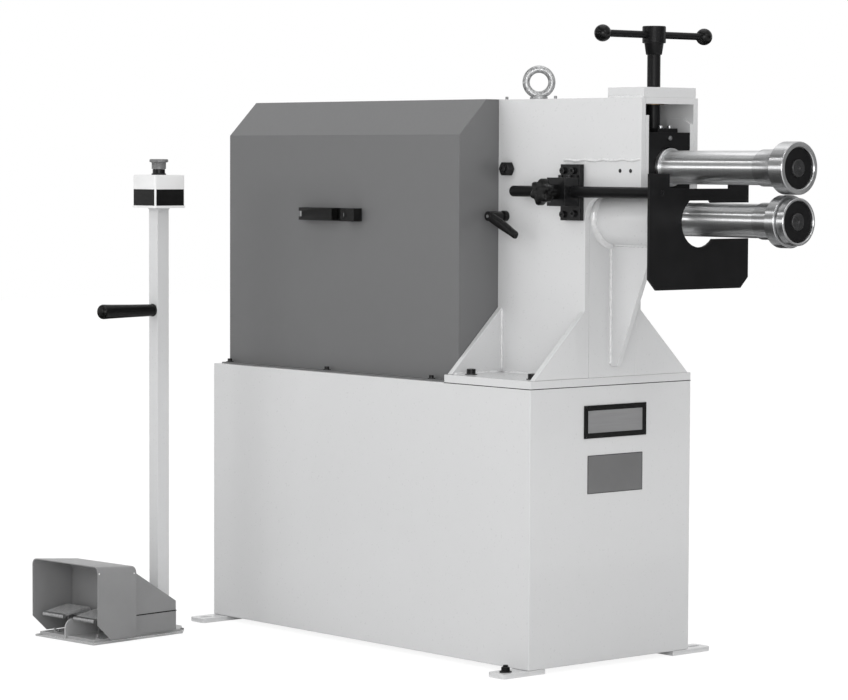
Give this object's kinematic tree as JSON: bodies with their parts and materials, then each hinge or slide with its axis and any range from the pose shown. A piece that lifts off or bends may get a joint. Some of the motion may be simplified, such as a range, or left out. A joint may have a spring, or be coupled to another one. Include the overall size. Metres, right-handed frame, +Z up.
{
  "type": "electric bead roller",
  "caption": "Motor-driven bead roller on a sheet-steel cabinet, with screw-pressed rolls, a sliding stop plate and a free-standing twin pedal with stop button.",
  "frame": {"origin": "on the floor, at the centre of the whole set's bounding box: the machine with its pedal station", "axes": "+X along the roll shafts towards the rolls, +Z up, -Y the side with the stop rod and the pedals"},
  "size_m": [1.5658, 0.9554, 1.266],
  "materials": {
    "paint": "light grey gloss paint",
    "guard_paint": "mid grey gloss paint",
    "hood_paint": "mid grey satin paint",
    "chrome": "ground and polished steel",
    "steel": "machined",
    "zinc": "zinc plated",
    "black_steel": "black oxide, satin",
    "black_plastic": "fine texture",
    "bronze": "turned bearing bronze",
    "motor_casting": "painted casting",
    "case_plastic": "moulded, satin",
    "button_grey": "smooth moulded"
  },
  "bodies": {
    "machine": {"cabinet_shell": "paint", "foot_front_near": "paint", "foot_front_far": "paint", "foot_rear_near": "paint", "foot_rear_far": "paint", "head_base_plate": "paint", "side_plate_near": "paint", "side_plate_far": "paint", "head_front_plate": "paint", "head_top_plate": "paint", "screw_nut_block": "paint", "screw_bush": "bronze", "guide_strip_near": "paint", "guide_strip_far": "paint", "lower_bearing_housing": "paint", "lower_front_bush": "bronze", "lower_rear_housing": "steel", "pivot_bolt_near": "black_steel", "pivot_bolt_far": "black_steel", "gauge_bracket": "black_steel", "gauge_clamp_block": "black_steel", "eye_bolt": "zinc", "guard_cover": "guard_paint", "latch_base": "black_plastic", "gearmotor_stand": "paint", "gearbox": "motor_casting", "motor": "motor_casting"},
    "lower_shaft": {"lower_shaft": "chrome", "lower_roll": "chrome", "lower_roll_cap": "black_steel", "lower_gear": "steel"},
    "upper_carrier": {"swing_housing": "steel", "upper_front_bearing": "steel"},
    "upper_shaft": {"upper_shaft": "chrome", "upper_roll": "chrome", "upper_roll_cap": "black_steel", "upper_gear": "steel"},
    "slide_block": {"slide_block": "black_steel"},
    "pressure_screw": {"pressure_screw": "black_steel", "screw_hub": "black_steel", "tee_bar": "black_steel", "ball_knob_near": "black_plastic", "ball_knob_far": "black_plastic"},
    "gauge": {"gauge_rod": "black_steel", "stop_plate": "black_steel"},
    "star_knob": {"star_knob": "black_plastic"},
    "clamp_lever": {"clamp_lever": "black_plastic"},
    "latch_spindle": {"latch_spindle": "steel"},
    "latch_handle": {"latch_handle": "black_plastic"},
    "station": {"pedal_base": "hood_paint", "pedal_guard": "hood_paint", "pedal_box": "hood_paint", "pedal_cover": "hood_paint", "post": "paint", "carry_grip": "black_plastic", "estop_case": "case_plastic"},
    "treadle_left": {"treadle_left": "zinc"},
    "treadle_right": {"treadle_right": "zinc"},
    "estop_stem": {"estop_stem": "black_plastic"},
    "estop_button": {"estop_button": "button_grey"}
  },
  "joints": [
    {"name": "lower_spin", "type": "hinge", "parent": "machine", "child": "lower_shaft", "pos_m": [0.40265, 0.19019, 0.892], "axis": [1, 0, 0], "continuous": true},
    {"name": "upper_tilt", "type": "hinge", "parent": "machine", "child": "upper_carrier", "pos_m": [0.06793, 0.19019, 0.987], "axis": [0, -1, 0], "range_deg": [0, 3.51]},
    {"name": "upper_spin", "type": "hinge", "parent": "upper_carrier", "child": "upper_shaft", "pos_m": [0.40265, 0.19019, 0.992], "axis": [1, 0, 0], "continuous": true},
    {"name": "block_lift", "type": "slide", "parent": "machine", "child": "slide_block", "axis": [0, 0, 1], "range_m": [0, 0.02001]},
    {"name": "screw_turn", "type": "hinge", "parent": "slide_block", "child": "pressure_screw", "pos_m": [0.39793, 0.19019, 1.1], "axis": [0, 0, 1], "range_deg": [0, 1440]},
    {"name": "gauge_slide", "type": "slide", "parent": "machine", "child": "gauge", "axis": [1, 0, 0], "range_m": [-0.055, 0.12]},
    {"name": "star_turn", "type": "hinge", "parent": "machine", "child": "star_knob", "pos_m": [0.25768, 0.05, 0.943], "axis": [0, -1, 0], "range_deg": [0, 720]},
    {"name": "clamp_lever_turn", "type": "hinge", "parent": "machine", "child": "clamp_lever", "pos_m": [0.05843, 0.09, 0.892], "axis": [0, -1, 0], "range_deg": [-75, 35]},
    {"name": "latch_turn", "type": "hinge", "parent": "machine", "child": "latch_spindle", "pos_m": [-0.44907, 0, 0.89], "axis": [0, 1, 0], "range_deg": [0, 90]},
    {"name": "latch_swing", "type": "hinge", "parent": "latch_spindle", "child": "latch_handle", "pos_m": [-0.44907, -0.00881, 0.89], "axis": [0, 0, -1], "range_deg": [0, 45]},
    {"name": "station_place", "type": "slide", "parent": "machine", "child": "station", "axis": [0, -1, 0], "range_m": [0, 0.4]},
    {"name": "treadle_left_press", "type": "hinge", "parent": "station", "child": "treadle_left", "pos_m": [-0.72155, -0.38411, 0.043], "axis": [0.9962, 0.0872, 0], "range_deg": [0, 10], "stiffness_Nm_per_rad": 2, "springref_deg": -17.19},
    {"name": "treadle_right_press", "type": "hinge", "parent": "station", "child": "treadle_right", "pos_m": [-0.62193, -0.37539, 0.043], "axis": [0.9962, 0.0872, 0], "range_deg": [0, 10], "stiffness_Nm_per_rad": 2, "springref_deg": -17.19},
    {"name": "estop_press", "type": "slide", "parent": "station", "child": "estop_stem", "axis": [0, 0, -1], "range_m": [0, 0.005]},
    {"name": "estop_twist", "type": "hinge", "parent": "estop_stem", "child": "estop_button", "pos_m": [-0.6642, -0.22454, 0.987], "axis": [0, 0, -1], "range_deg": [0, 30], "stiffness_Nm_per_rad": 0.05, "springref_deg": -5.73}
  ],
  "couplings": [
    {"joint": "upper_spin", "follows": "lower_spin", "ratio": -1},
    {"joint": "block_lift", "follows": "screw_turn", "m_per_rad": 0.00079577},
    {"joint": "upper_tilt", "follows": "screw_turn", "ratio": 0.0024336}
  ]
}
